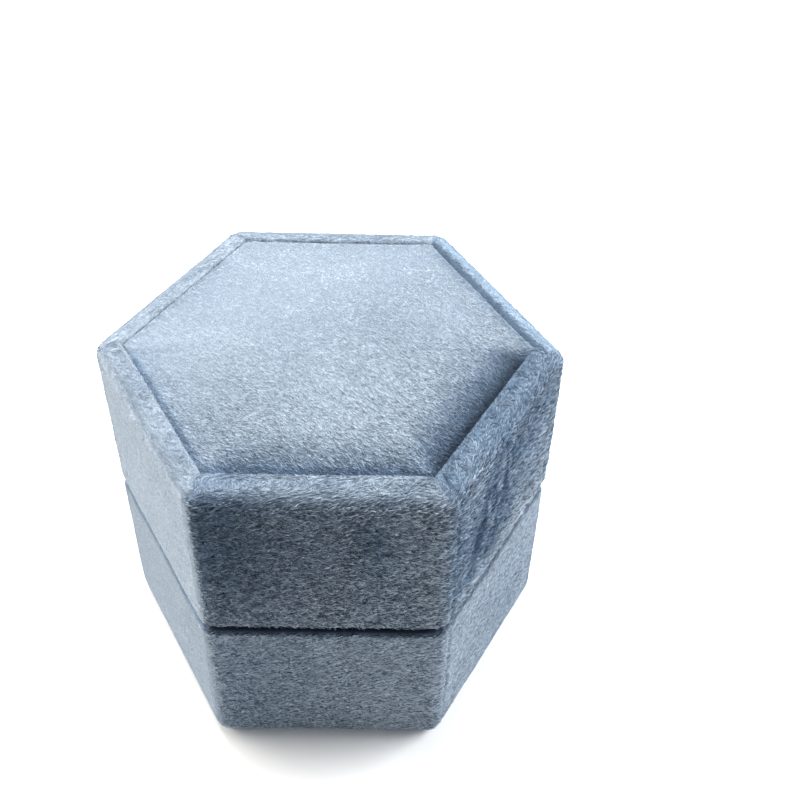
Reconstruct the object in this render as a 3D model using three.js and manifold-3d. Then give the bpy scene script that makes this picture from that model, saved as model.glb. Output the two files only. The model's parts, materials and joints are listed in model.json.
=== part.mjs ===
// A hexagonal velvet ring box with a lift-off lid.
//
// Both halves are greyboard shells wrapped in velvet. A velvet-covered collar stands up out of the
// base and guides the lid. Three velvet-covered foam rolls fill the collar, and rings are held in
// the two slots between them. A padded hexagon is sunk into the lid's top.
//
// Units are millimetres and +Z is up. The origin is the centre of the resting face. The flat front
// faces -Y, so two of the six corners lie on the X axis.

import * as THREE from "three";
import { mergeVertices } from "three/addons/utils/BufferGeometryUtils.js";
import Module from "manifold-3d";

const wasm = await Module();
wasm.setup();

// ---------------------------------------------------------------- driving dimensions

const SIDES = 6;
const HALF_ACROSS_FLATS = 25; // outer face of the velvet
const HEIGHT = 46.6; // resting face to the crest of the lid's rim
const SPLIT_HEIGHT = 23.1; // where the lid meets the base
const SPLIT_GAP = 0.3;

const VELVET = 0.75; // backing and pile together
const BOARD = 2; // greyboard of the walls, floor and lid deck
const CARD = 1; // card behind the padded pieces
const COLLAR_CARD = 1.5;
const GLUE = 0.05; // between layers that are glued together

const CORNER_RADIUS = 2.25; // upright corners of the velvet
const EDGE_RADIUS = 1.2; // rims and the bottom edge
const CORNER_STEPS = 4; // straight pieces in one rounded corner
const EDGE_STEPS = 3;

const RIM_DEPTH = 3.7; // lid deck below the crest of the rim
const PILLOW_EDGE_DROP = 1.0; // how far the lid's padding falls towards its edge
const PILLOW_EDGE_RUN = 4.5; // how far in from the edge it starts to fall
const PILLOW_CROWN = 0.5; // how far it stands above the rim
const PILLOW_CLEARANCE = 0.1;
const TURN_IN = 12; // velvet folded over the base's rim and down inside

const COLLAR_CLEARANCE = 0.25; // between the collar and the velvet inside the lid
const COLLAR_RISE = 8.5; // collar above the base's rim

const PAD_CROWN_HEIGHT = 23; // top of the ring rolls
const ROLL_COUNT = 3;
const ROLL_CLEARANCE = 0.15; // between a roll and the collar
const SLOT_WIDTH = 0.8; // between two rolls
const ROLL_EDGE_RADIUS = 3; // rounding along the top of a roll
const ROLL_STEPS = 5;

const COVER_INSET = 0.2; // bottom cover set in from the turned-under velvet

// ---------------------------------------------------------------- worked-out levels

const SKIN = VELVET + GLUE;

const wallOutside = HALF_ACROSS_FLATS - SKIN;
const wallInside = wallOutside - BOARD;
const liningOutside = wallInside - GLUE;
const liningInside = liningOutside - VELVET;

const baseRim = SPLIT_HEIGHT - SPLIT_GAP / 2;
const lidRim = SPLIT_HEIGHT + SPLIT_GAP / 2;
const deckTop = HEIGHT - RIM_DEPTH;
const deckBottom = deckTop - BOARD;

const floorBottom = SKIN;
const floorTop = floorBottom + BOARD;

const collarOutside = liningInside - COLLAR_CLEARANCE;
const collarCardOutside = collarOutside - SKIN;
const collarCardInside = collarCardOutside - COLLAR_CARD;
const collarInside = collarCardInside - SKIN;
const collarTop = baseRim + COLLAR_RISE;

const padCardBottom = floorTop + GLUE;
const padCardTop = padCardBottom + CARD;
const padOutside = collarInside - ROLL_CLEARANCE;

// ---------------------------------------------------------------- solids

function toSolid(geometry) {
  geometry.deleteAttribute("normal");
  geometry.deleteAttribute("uv");
  const merged = mergeVertices(geometry, 1e-4);
  const corners = merged.index.array;
  const triangles = [];
  for (let i = 0; i < corners.length; i += 3) {
    const [a, b, c] = corners.slice(i, i + 3);
    if (a !== b && b !== c && c !== a) {
      triangles.push(a, b, c);
    }
  }
  return new wasm.Manifold(
    new wasm.Mesh({
      numProp: 3,
      vertProperties: new Float32Array(merged.attributes.position.array),
      triVerts: new Uint32Array(triangles),
    })
  );
}

function toGeometry(solid) {
  const mesh = solid.getMesh();
  const geometry = new THREE.BufferGeometry();
  geometry.setAttribute("position", new THREE.BufferAttribute(mesh.vertProperties, 3));
  geometry.setIndex(new THREE.BufferAttribute(mesh.triVerts, 1));
  geometry.computeVertexNormals();
  return geometry;
}

// Distance from the centre to a corner, for a hexagon of this half width across its flats.
function toCorner(halfAcrossFlats) {
  return halfAcrossFlats / Math.cos(Math.PI / SIDES);
}

// A hexagon with each corner rounded by an arc.
function roundedHexagon(halfAcrossFlats, cornerRadius) {
  const shape = new THREE.Shape();
  const arcCentre = toCorner(halfAcrossFlats - cornerRadius);
  const halfTurn = Math.PI / SIDES;
  for (let side = 0; side < SIDES; side++) {
    const angle = 2 * halfTurn * side;
    shape.absarc(
      arcCentre * Math.cos(angle),
      arcCentre * Math.sin(angle),
      cornerRadius,
      angle - halfTurn,
      angle + halfTurn,
      false
    );
  }
  shape.closePath();
  return shape;
}

// An upright prism with rounded corners. A non-zero edge radius rounds its top and bottom edges too.
function roundedPrism(halfAcrossFlats, cornerRadius, low, high, edgeRadius = 0) {
  const geometry = new THREE.ExtrudeGeometry(roundedHexagon(halfAcrossFlats, cornerRadius), {
    depth: high - low - 2 * edgeRadius,
    curveSegments: CORNER_STEPS,
    bevelEnabled: edgeRadius > 0,
    bevelThickness: edgeRadius,
    bevelSize: edgeRadius,
    bevelOffset: -edgeRadius,
    bevelSegments: EDGE_STEPS,
  });
  geometry.translate(0, 0, low + edgeRadius);
  return toSolid(geometry);
}

// A closed upright profile of [half width across flats, height] points, carried round six sides
// with sharp mitred corners. The points run anticlockwise, seen with the axis on the left.
function mitredHexagon(profile) {
  const points = profile.map(([halfWidth, height]) => new THREE.Vector2(toCorner(halfWidth), height));
  points.push(points[0].clone());
  const geometry = new THREE.LatheGeometry(points, SIDES, Math.PI / SIDES);
  geometry.rotateX(Math.PI / 2);
  return toSolid(geometry);
}

function plate(halfAcrossFlats, low, high) {
  return mitredHexagon([
    [0, low],
    [halfAcrossFlats, low],
    [halfAcrossFlats, high],
    [0, high],
  ]);
}

function band(inside, outside, low, high) {
  return mitredHexagon([
    [inside, low],
    [outside, low],
    [outside, high],
    [inside, high],
  ]);
}

// Points of a quarter circle or quarter ellipse, from one end to the other.
function quarter(centreX, centreY, radiusX, radiusY, startAngle, steps) {
  const points = [];
  for (let step = 0; step <= steps; step++) {
    const angle = startAngle + (Math.PI / 2) * (step / steps);
    points.push([centreX + radiusX * Math.cos(angle), centreY + radiusY * Math.sin(angle)]);
  }
  return points;
}

// The room inside a wall, flaring out over the rim at one end or both so that the rim is round.
function hollow(inside, low, high, flareLow, flareHigh) {
  const beyond = 1;
  const flared = inside + EDGE_RADIUS;
  const points = [];
  if (flareLow) {
    points.push([0, low - beyond], [flared, low - beyond]);
    points.push(...quarter(flared, low + EDGE_RADIUS, EDGE_RADIUS, EDGE_RADIUS, Math.PI, EDGE_STEPS).reverse());
  } else {
    points.push([0, low], [inside, low]);
  }
  if (flareHigh) {
    const arc = quarter(flared, high - EDGE_RADIUS, EDGE_RADIUS, EDGE_RADIUS, Math.PI / 2, EDGE_STEPS);
    points.push(...arc.reverse());
    points.push([flared, high + beyond], [0, high + beyond]);
  } else {
    points.push([inside, high], [0, high]);
  }
  return mitredHexagon(points);
}

// A padded hexagon: flat below, falling away in a quarter ellipse round its top edge.
function pillow(halfAcrossFlats, low, crown, drop, run) {
  return mitredHexagon([
    [0, low],
    [halfAcrossFlats, low],
    ...quarter(halfAcrossFlats - run, crown - drop, run, drop, 0, ROLL_STEPS),
    [0, crown],
  ]);
}

// ---------------------------------------------------------------- assembly

const ringBox = new THREE.Group();

const greyboard = { color: 0x8f8a80, roughness: 0.95, metalness: 0 };
const card = { color: 0xd9d5cb, roughness: 0.9, metalness: 0 };
const foam = { color: 0xe9e6da, roughness: 1, metalness: 0 };
const velvet = { color: 0x8ea3b5, roughness: 0.85, metalness: 0 };
const innerVelvet = { color: 0xa3b5c4, roughness: 0.85, metalness: 0 };
const basePaper = { color: 0x5d6b78, roughness: 0.9, metalness: 0 };

function addPart(name, solid, finish) {
  const mesh = new THREE.Mesh(toGeometry(solid), new THREE.MeshStandardMaterial(finish));
  mesh.name = name;
  ringBox.add(mesh);
}

// The greyboard wall of one half: six sides with rounded outer corners.
function wallBoard(low, high) {
  const block = roundedPrism(wallOutside, CORNER_RADIUS - SKIN, low, high);
  return block.subtract(plate(wallInside, low - 1, high + 1));
}

// The room that a wall board takes up inside its velvet, with the glue line round it.
function wallBoardRoom(low, high) {
  const block = roundedPrism(wallOutside + GLUE, CORNER_RADIUS - VELVET, low - GLUE, high + GLUE);
  return block.subtract(plate(liningOutside, low - 1, high + 1));
}

function addLid() {
  const wallLow = lidRim + SKIN;
  const wallHigh = HEIGHT - SKIN;
  addPart("lid_wall_board", wallBoard(wallLow, wallHigh), greyboard);
  addPart("lid_deck_board", plate(liningOutside, deckBottom, deckTop), greyboard);

  // One strip of velvet goes from the deck up over the rim, down the outside, under the lower edge
  // and up inside to the ceiling.
  const wrap = roundedPrism(HALF_ACROSS_FLATS, CORNER_RADIUS, lidRim, HEIGHT, EDGE_RADIUS)
    .subtract(hollow(liningInside, lidRim, deckTop, true, false))
    .subtract(hollow(liningInside, deckTop, HEIGHT, false, true))
    .subtract(wallBoardRoom(wallLow, wallHigh))
    .subtract(plate(liningOutside + GLUE, deckBottom - GLUE, deckTop + GLUE));
  addPart("lid_wall_velvet", wrap, velvet);

  addTopPadding();
  addCeiling();
}

// The padded hexagon sunk into the top of the lid: card, foam and velvet.
function addTopPadding() {
  const outside = liningInside - PILLOW_CLEARANCE;
  const inside = outside - SKIN;
  const crown = HEIGHT + PILLOW_CROWN;
  const cardLow = deckTop + GLUE;
  const foamLow = cardLow + CARD + GLUE;
  const innerDrop = PILLOW_EDGE_DROP - SKIN / 2;
  addPart("lid_top_card", plate(inside, cardLow, cardLow + CARD), card);
  addPart("lid_top_foam", pillow(inside, foamLow, crown - SKIN, innerDrop, PILLOW_EDGE_RUN - SKIN), foam);

  const cover = pillow(outside, cardLow, crown, PILLOW_EDGE_DROP, PILLOW_EDGE_RUN);
  const filling = pillow(
    inside + GLUE,
    cardLow - 1,
    crown - VELVET,
    innerDrop,
    PILLOW_EDGE_RUN - SKIN
  );
  addPart("lid_top_velvet", cover.subtract(filling), velvet);
}

// The lining under the lid's deck: card and velvet.
function addCeiling() {
  const cardHigh = deckBottom - GLUE;
  const cardLow = cardHigh - CARD;
  const velvetHigh = cardLow - GLUE;
  const outside = liningInside - GLUE;
  addPart("lid_ceiling_card", plate(outside, cardLow, cardHigh), card);
  addPart("lid_ceiling_velvet", plate(outside, velvetHigh - VELVET, velvetHigh), innerVelvet);
}

function addBase() {
  const wallLow = SKIN;
  const wallHigh = baseRim - SKIN;
  addPart("base_wall_board", wallBoard(wallLow, wallHigh), greyboard);
  addPart("base_floor_board", plate(liningOutside, floorBottom, floorTop), greyboard);

  // The velvet is turned in over the rim, goes down the outside and is turned under the bottom.
  const turnedUnder = HALF_ACROSS_FLATS - 3;
  const wrap = roundedPrism(HALF_ACROSS_FLATS, CORNER_RADIUS, 0, baseRim, EDGE_RADIUS)
    .subtract(hollow(liningInside, baseRim - TURN_IN, baseRim, false, true))
    .subtract(wallBoardRoom(wallLow, wallHigh))
    .subtract(plate(liningOutside + GLUE, SKIN - GLUE, baseRim - TURN_IN))
    .subtract(plate(turnedUnder, -1, SKIN));
  addPart("base_wall_velvet", wrap, velvet);

  const cover = plate(turnedUnder - COVER_INSET, 0, SKIN - GLUE);
  addPart("base_bottom_cover", cover, basePaper);

  addCollar();
  addRingPad();
}

// The neck that guides the lid: card with velvet folded over its top, so open below.
function addCollar() {
  const cardLow = floorTop + GLUE;
  const cardHigh = collarTop - SKIN;
  const cardBand = band(collarCardInside, collarCardOutside, cardLow, cardHigh);
  addPart("collar_card", cardBand, card);

  const edge = EDGE_RADIUS;
  const middle = (collarInside + collarOutside) / 2;
  const sleeve = mitredHexagon([
    [collarInside, cardLow],
    [collarOutside, cardLow],
    ...quarter(collarOutside - edge, collarTop - edge, edge, edge, 0, EDGE_STEPS),
    [middle, collarTop],
    ...quarter(collarInside + edge, collarTop - edge, edge, edge, Math.PI / 2, EDGE_STEPS),
  ]);
  const room = band(collarCardInside - GLUE, collarCardOutside + GLUE, cardLow - 1, cardHigh + GLUE);
  addPart("collar_velvet", sleeve.subtract(room), innerVelvet);
}

// A loaf along X: the cross-section of one ring roll, rounded along its two top edges.
function loaf(front, back, low, high, edgeRadius) {
  const shape = new THREE.Shape();
  shape.moveTo(front, low);
  shape.lineTo(back, low);
  shape.lineTo(back, high - edgeRadius);
  shape.absarc(back - edgeRadius, high - edgeRadius, edgeRadius, 0, Math.PI / 2, false);
  shape.lineTo(front + edgeRadius, high);
  shape.absarc(front + edgeRadius, high - edgeRadius, edgeRadius, Math.PI / 2, Math.PI, false);
  shape.closePath();
  const length = 2 * toCorner(HALF_ACROSS_FLATS);
  const geometry = new THREE.ExtrudeGeometry(shape, {
    depth: length,
    curveSegments: ROLL_STEPS,
    bevelEnabled: false,
  });
  // The section was drawn in XY: X becomes Y, Y becomes Z, and the extrusion runs along X.
  geometry.applyMatrix4(new THREE.Matrix4().set(0, 0, 1, -length / 2, 1, 0, 0, 0, 0, 1, 0, 0, 0, 0, 0, 1));
  return toSolid(geometry);
}

// The ring pad: three foam rolls side by side on a card, each with its own velvet cover.
function addRingPad() {
  addPart("pad_card", plate(padOutside, padCardBottom, padCardTop), card);

  const names = ["front", "middle", "back"];
  const foot = padCardTop + GLUE;
  const width = (2 * padOutside - (ROLL_COUNT - 1) * SLOT_WIDTH) / ROLL_COUNT;
  const coverSpace = plate(padOutside, foot, PAD_CROWN_HEIGHT + 1);
  const foamSpace = plate(padOutside - SKIN, foot - 1, PAD_CROWN_HEIGHT + 1);
  const hollowSpace = plate(padOutside - VELVET, foot - 1, PAD_CROWN_HEIGHT + 1);
  names.forEach((name, index) => {
    const front = -padOutside + index * (width + SLOT_WIDTH);
    const back = front + width;
    const radius = ROLL_EDGE_RADIUS;
    const filling = loaf(front + SKIN, back - SKIN, foot, PAD_CROWN_HEIGHT - SKIN, radius - SKIN);
    addPart(`ring_foam_${name}`, filling.intersect(foamSpace), foam);

    const cover = loaf(front, back, foot, PAD_CROWN_HEIGHT, radius).intersect(coverSpace);
    const room = loaf(
      front + VELVET,
      back - VELVET,
      foot - 1,
      PAD_CROWN_HEIGHT - VELVET,
      radius - VELVET
    ).intersect(hollowSpace);
    addPart(`ring_velvet_${name}`, cover.subtract(room), innerVelvet);
  });
}

addBase();
addLid();

export default ringBox;
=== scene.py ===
"""The looks of a hexagonal velvet ring box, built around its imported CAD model.

Every velvet surface is a fine mesh with a woven, brushed material, and a coat of short curves, the
pile, grows on it. Sizes come from the CAD nodes. Lengths in the tables below are in millimetres.
"""

import itertools
import json
import math

import bmesh
import bpy
import numpy as np
from mathutils import Matrix, Vector


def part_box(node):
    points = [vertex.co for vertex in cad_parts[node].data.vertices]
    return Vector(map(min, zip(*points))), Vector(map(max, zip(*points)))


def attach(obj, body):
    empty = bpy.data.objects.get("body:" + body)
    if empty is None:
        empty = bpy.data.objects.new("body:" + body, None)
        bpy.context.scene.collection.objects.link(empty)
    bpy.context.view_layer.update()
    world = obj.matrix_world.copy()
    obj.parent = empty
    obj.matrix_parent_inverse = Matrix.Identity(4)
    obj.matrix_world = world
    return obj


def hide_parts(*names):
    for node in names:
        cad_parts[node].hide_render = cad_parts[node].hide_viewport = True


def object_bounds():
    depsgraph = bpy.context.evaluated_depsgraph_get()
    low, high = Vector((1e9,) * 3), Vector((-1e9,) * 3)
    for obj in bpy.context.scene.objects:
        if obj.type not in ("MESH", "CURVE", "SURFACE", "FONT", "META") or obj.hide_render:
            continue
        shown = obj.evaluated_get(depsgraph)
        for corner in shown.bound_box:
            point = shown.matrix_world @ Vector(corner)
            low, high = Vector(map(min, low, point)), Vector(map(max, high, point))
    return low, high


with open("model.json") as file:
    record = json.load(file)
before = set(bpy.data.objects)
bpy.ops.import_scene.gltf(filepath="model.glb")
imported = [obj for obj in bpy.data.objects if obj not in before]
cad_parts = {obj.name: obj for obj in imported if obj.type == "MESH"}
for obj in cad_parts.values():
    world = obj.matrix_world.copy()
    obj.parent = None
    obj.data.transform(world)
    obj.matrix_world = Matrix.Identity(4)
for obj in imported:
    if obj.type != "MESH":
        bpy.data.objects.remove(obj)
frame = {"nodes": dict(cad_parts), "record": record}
cad_low, cad_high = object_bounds()

MM = 0.001
SIDES = 6
HALF_TURN = math.pi / SIDES
SLOPE = math.tan(HALF_TURN)

# ---------------------------------------------------------------- sizes, from the CAD nodes

lid_low, lid_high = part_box("lid_wall_velvet")
base_low, base_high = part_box("base_wall_velvet")
deck_low, deck_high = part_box("lid_deck_board")
_, board_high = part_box("lid_wall_board")
cushion_low, cushion_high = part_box("lid_top_velvet")
ceiling_low, ceiling_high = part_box("lid_ceiling_velvet")
collar_low, collar_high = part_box("collar_velvet")
_, pad_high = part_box("pad_card")
TURNED_IN = 12 * MM
TURNED_UNDER = 3 * MM
GLUE = 0.05 * MM

OUTSIDE = lid_high.y
CORNER = (OUTSIDE / math.cos(HALF_TURN) - lid_high.x) / (1 / math.cos(HALF_TURN) - 1)
CLOTH = OUTSIDE - board_high.y
BOARD = deck_high.z - deck_low.z
INSIDE = OUTSIDE - 2 * CLOTH - BOARD
COLLAR_OUTSIDE = collar_high.y
COLLAR_WALL = 3.1 * MM
COLLAR_RADIUS = 1.3 * MM
SHARPEST = 0.35 * MM

# How far the backing lies below the CAD surface, which is the top of the pile.
PILE_DEPTH = 0.18 * MM
RIM_RADIUS = 1.35 * MM
RECESS_RADIUS = 0.55 * MM
LID_EDGE_RADIUS = 0.55 * MM
BASE_RIM_RADIUS = 1.0 * MM
BASE_FOOT_RADIUS = 1.9 * MM
GAP_EASE = 0.25 * MM
SEED = 11


# ---------------------------------------------------------------- smooth random fields


def hashed(cells, seed):
    """A fixed random number from 0 to 1 for each whole-numbered cell."""
    mixed = cells[:, 0] * 73856093 ^ cells[:, 1] * 19349663 ^ cells[:, 2] * 83492791
    mixed = (mixed ^ (seed * 668265263)) & 0xFFFFFFFF
    mixed = ((mixed ^ (mixed >> 15)) * 739982445) & 0xFFFFFFFF
    mixed = ((mixed ^ (mixed >> 12)) * 695872825) & 0xFFFFFFFF
    return ((mixed ^ (mixed >> 15)) & 0xFFFFFF) / 0xFFFFFF


def field(points, size, seed):
    """Smooth noise from -1 to 1, with features about as wide as size."""
    scaled = points / np.asarray(size)
    cells = np.floor(scaled).astype(np.int64)
    part = scaled - cells
    part = part * part * (3 - 2 * part)
    total = np.zeros(len(points))
    for corner in itertools.product((0, 1), repeat=3):
        weight = np.prod(np.where(corner, part, 1 - part), axis=1)
        total += weight * hashed(cells + np.array(corner), seed)
    return total * 2 - 1


def tuft_offsets(scaled, jitter, seed):
    """The way to the middle of each point's tuft, in tuft sizes, and a random number for the tuft.

    jitter is how far tufts stray from a regular grid along each axis, from 0 to 1.
    """
    cells = np.floor(scaled).astype(np.int64)
    best = np.full(len(scaled), np.inf)
    offsets = np.zeros_like(scaled)
    chance = np.zeros(len(scaled))
    for corner in itertools.product((-1, 0, 1), repeat=3):
        near = cells + np.array(corner)
        stray = np.stack([hashed(near, seed + axis) for axis in range(3)], axis=1)
        away = near + 0.5 + (stray - 0.5) * jitter - scaled
        distance = (away**2).sum(axis=1)
        closer = distance < best
        best[closer] = distance[closer]
        offsets[closer] = away[closer]
        chance[closer] = hashed(near[closer], seed + 7)
    return offsets, chance


def unit(vectors):
    return vectors / np.maximum(np.linalg.norm(vectors, axis=1, keepdims=True), 1e-12)


def ramp(value, low, high):
    """0 below low, 1 above high, and smooth between them."""
    t = np.clip((value - low) / (high - low), 0, 1)
    return t * t * (3 - 2 * t)


# ---------------------------------------------------------------- mesh building


def side_angle(side):
    """The way that a side faces, in radians from +X. Side 0 is the front, and they turn right."""
    return -math.pi / 2 + 2 * HALF_TURN * side


def side_direction(side):
    """The way that a side faces, as (x, y)."""
    facing = side_angle(side)
    return np.array([math.cos(facing), math.sin(facing)])


def hexagon_loop(apothem, corner_radius, straight, arc):
    """A rounded hexagon as (x, y) points: `straight` of them on a side, then `arc` round its corner."""
    half_side = (apothem - corner_radius) * SLOPE
    points = []
    for side in range(SIDES):
        out = side_direction(side)
        along = np.array([-out[1], out[0]])
        for step in range(straight):
            t = (step + 0.5) / straight
            points.append(out * apothem + along * half_side * (2 * t - 1))
        centre = out * (apothem - corner_radius) + along * half_side
        for step in range(arc):
            turn = side_angle(side) + 2 * HALF_TURN * (step + 0.5) / arc
            points.append(centre + corner_radius * np.array([math.cos(turn), math.sin(turn)]))
    return np.array(points)


def corner_at(apothem):
    """The corner radius of the wrapped velvet at this distance from the axis."""
    return max(SHARPEST, CORNER - (OUTSIDE - apothem))


def line(start, end, step):
    """Points from start up to, but not including, end."""
    count = max(1, round(math.dist(start, end) / step))
    return [
        (start[0] + (end[0] - start[0]) * i / count, start[1] + (end[1] - start[1]) * i / count)
        for i in range(count)
    ]


def arc(centre, radius, start, end, steps):
    """Points round an arc, angles in degrees, not including its end."""
    turns = [math.radians(start + (end - start) * i / steps) for i in range(steps)]
    return [(centre[0] + radius * math.cos(t), centre[1] + radius * math.sin(t)) for t in turns]


def new_object(name, data):
    piece = bpy.data.objects.new(name, data)
    bpy.context.scene.collection.objects.link(piece)
    return piece


def band_mesh(name, section, straight=84, arc_points=9):
    """A closed section of (apothem, height) points, carried round the hexagon as a closed ring."""
    rows = [
        np.column_stack(
            [
                hexagon_loop(apothem, corner_at(apothem), straight, arc_points),
                np.full(SIDES * (straight + arc_points), height),
            ]
        )
        for apothem, height in section
    ]
    vertices = np.concatenate(rows)
    columns = len(rows[0])
    faces = []
    for row in range(len(rows)):
        above = (row + 1) % len(rows)
        for column in range(columns):
            beside = (column + 1) % columns
            faces.append(
                (
                    row * columns + column,
                    row * columns + beside,
                    above * columns + beside,
                    above * columns + column,
                )
            )
    mesh = bpy.data.meshes.new(name)
    mesh.from_pydata(vertices.tolist(), [], faces)
    piece = new_object(name, mesh)
    piece["rows"] = len(section)
    face_outwards(piece)
    return piece


def face_outwards(piece):
    grid = bmesh.new()
    grid.from_mesh(piece.data)
    bmesh.ops.recalc_face_normals(grid, faces=grid.faces)
    grid.to_mesh(piece.data)
    grid.free()
    piece.data.shade_smooth()


def positions(mesh):
    places = np.zeros(len(mesh.vertices) * 3)
    mesh.vertices.foreach_get("co", places)
    return places.reshape(-1, 3)


def normals(mesh):
    directions = np.zeros(len(mesh.vertices) * 3)
    mesh.vertices.foreach_get("normal", directions)
    return directions.reshape(-1, 3)


def surface_of(piece):
    """Where a piece's points are, and the way that the surface faces there."""
    return positions(piece.data), normals(piece.data)


def move_to(mesh, places):
    mesh.vertices.foreach_set("co", places.astype(np.float32).ravel())
    mesh.update()


def set_values(mesh, name, values):
    attribute = mesh.attributes.get(name) or mesh.attributes.new(name, "FLOAT", "POINT")
    attribute.data.foreach_set("value", values.astype(np.float32))


def get_values(mesh, name):
    values = np.zeros(len(mesh.vertices))
    mesh.attributes[name].data.foreach_get("value", values)
    return values


# ---------------------------------------------------------------- how the velvet lies

FRONT, FRONT_RIGHT, BACK_RIGHT, BACK, BACK_LEFT, FRONT_LEFT = range(SIDES)


def place_on_sides(places):
    """The side that each point belongs to, and where it is on it, from -1 to 1, left to right."""
    turn = np.arctan2(places[:, 1], places[:, 0]) + math.pi / 2
    side = np.round(turn / (2 * HALF_TURN))
    across = np.tan(turn - side * 2 * HALF_TURN) / SLOPE
    return side.astype(int) % SIDES, across


def unrolled(places):
    """Each point's place on the strip of velvet: its side, and how far along and up the strip it is.

    On the rim, "up" carries on inwards. The directions of along and up come with them.
    """
    side, _ = place_on_sides(places)
    facing = side_angle(side)
    out = np.column_stack([np.cos(facing), np.sin(facing), np.zeros(len(places))])
    along = np.cross((0, 0, 1), out)
    upwards = np.array([0.0, 0.0, 1.0]) - out
    return side, (places * along).sum(axis=1), (places * upwards).sum(axis=1), along, upwards


def side_weights(outward):
    """How much each surface direction belongs to each of the six sides, front first, turning right."""
    weights = []
    for side in range(SIDES):
        out = side_direction(side)
        toward = outward[:, 0] * out[0] + outward[:, 1] * out[1]
        weights.append(np.clip(toward, 0, None) ** 30)
    weights = np.array(weights)
    return weights / np.maximum(weights.sum(axis=0), 1e-9)


def blend_sides(outward, values):
    """One value for each side, carried smoothly round the corners."""
    return (side_weights(outward) * np.array(values)[:, None]).sum(axis=0)


def edge_distance(places, apothem):
    """Distance in metres from the nearest side of a hexagon, counted inwards."""
    facing = side_angle(place_on_sides(places)[0])
    return apothem - (places[:, 0] * np.cos(facing) + places[:, 1] * np.sin(facing))


# How far outwards each side of the recess lies from its place in an even hexagon, in millimetres: the
# padded panel sits a little towards the back, as on the hand-made box.
RECESS_SIDES = (-0.82, -0.45, 0.40, 0.45, 0.20, 0.0)


def recess_move(places):
    """How far to move each point so that the recess and its cushion lie off centre."""
    corner_moves = []
    for side in range(SIDES):
        after = (side + 1) % SIDES
        facing = np.array([side_direction(side), side_direction(after)])
        amounts = np.array([RECESS_SIDES[side], RECESS_SIDES[after]]) * MM
        corner_moves.append(np.linalg.solve(facing, amounts))
    corner_moves = np.array(corner_moves)
    side, across = place_on_sides(places)
    share = ((across + 1) / 2)[:, None]
    moves = corner_moves[side - 1] * (1 - share) + corner_moves[side] * share
    from_middle = 1 - edge_distance(places, INSIDE) / INSIDE
    return np.column_stack([moves * from_middle[:, None], np.zeros(len(places))])


# How deep the cushion has sunk along each side and how dark its crease is there, as shares of the
# most, and how wide that crease is in millimetres. The sunk edge and the crease get painted shade.
SUNK_SIDES = (0.75, 1.0, 0.05, 0.0, 0.0, 0.18)
CREASE_SIDES = (0.60, 0.95, 0.2, 0.0, 0.0, 0.40)
CREASE_WIDTHS = (1.7, 1.25, 0.6, 0.5, 0.5, 0.45)


def near_edges(places, sides, widths, power=2):
    """Each side's value at the cushion's edge there, fading to 0 at its width from the edge."""
    total = np.zeros(len(places))
    for side, (value, width) in enumerate(zip(sides, widths)):
        out = side_direction(side)
        inwards = np.clip(cushion_high.y - places[:, :2] @ out, 0, None)
        across = places[:, :2] @ np.array([-out[1], out[0]]) / (cushion_high.y * SLOPE)
        beside = np.where(across > 0, sides[(side + 1) % SIDES], sides[side - 1])
        here = value + (np.minimum(value, beside) - value) * ramp(np.abs(across), 0.75, 1.0)
        total = np.maximum(total, here * np.exp(-((inwards / (width * MM)) ** power)))
    return total


def seam_distance(places):
    """Distance in metres from the upright seam, just right of the front right corner."""
    side, across = place_on_sides(places)
    half_side = OUTSIDE * SLOPE
    beside = (across + 1) * half_side - 1.3 * MM
    return np.where(side == FRONT_RIGHT, np.abs(beside), 1.0)


def mitre_distance(places):
    """Distance in metres from the nearest upright plane through a corner of the hexagon."""
    angle = np.arctan2(places[:, 1], places[:, 0])
    nearest = np.round(angle / (2 * HALF_TURN)) * 2 * HALF_TURN
    radius = np.hypot(places[:, 0], places[:, 1])
    return np.abs(radius * np.sin(angle - nearest))


def relief(places, height=1.0):
    """How far the backing stands out from its plain shape: slow swells and small tufts."""
    swell = field(places, 7 * MM, SEED) * 0.06 + field(places, 2.6 * MM, SEED + 1) * 0.03
    tufts = field(places, 0.9 * MM, SEED + 2) * 0.02
    return (swell + tufts) * MM * height


def roughen(piece, places, outward, shown, height, shifted=0.0):
    """Puts a piece's points at these places, with relief on the shown part and all of it shifted."""
    move_to(piece.data, places + outward * (relief(places, height) * shown)[:, None] + shifted)


# Brightness of the pile on each side of the walls and the rim, front first and turning right: where
# the brushed pile leans away from the light it is dark, and the numbers also hold painted light and
# shade for each side.
LID_SIDES = (0.63, 0.72, 0.72, 0.70, 0.74, 1.0)
BASE_SIDES = (0.92, 0.97, 0.78, 0.72, 0.76, 0.88)
RIM_SIDES = (0.68, 0.58, 0.86, 0.80, 0.84, 0.76)
# How much painted shade the gap between lid and base gets on each side.
GAP_SIDES = (1.0, 1.0, 0.9, 0.9, 0.8, 0.5)
# How ruffled the pile is on each side, from 0, brushed flat, to 1.
LID_ROUGH = (1.0, 0.8, 0.5, 0.4, 0.3, 0.18)
BASE_ROUGH = (0.68, 0.34, 0.3, 0.4, 0.3, 0.15)
RIM_ROUGH = (0.42, 0.50, 0.18, 0.12, 0.16, 0.22)
# How much darker the inner part of the rim and the recess wall below it are than the outer part:
# painted shade towards the crease.
RIM_SHADE = (0.0, 0.10, 0.60, 0.04, 0.0, 0.0)
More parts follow.
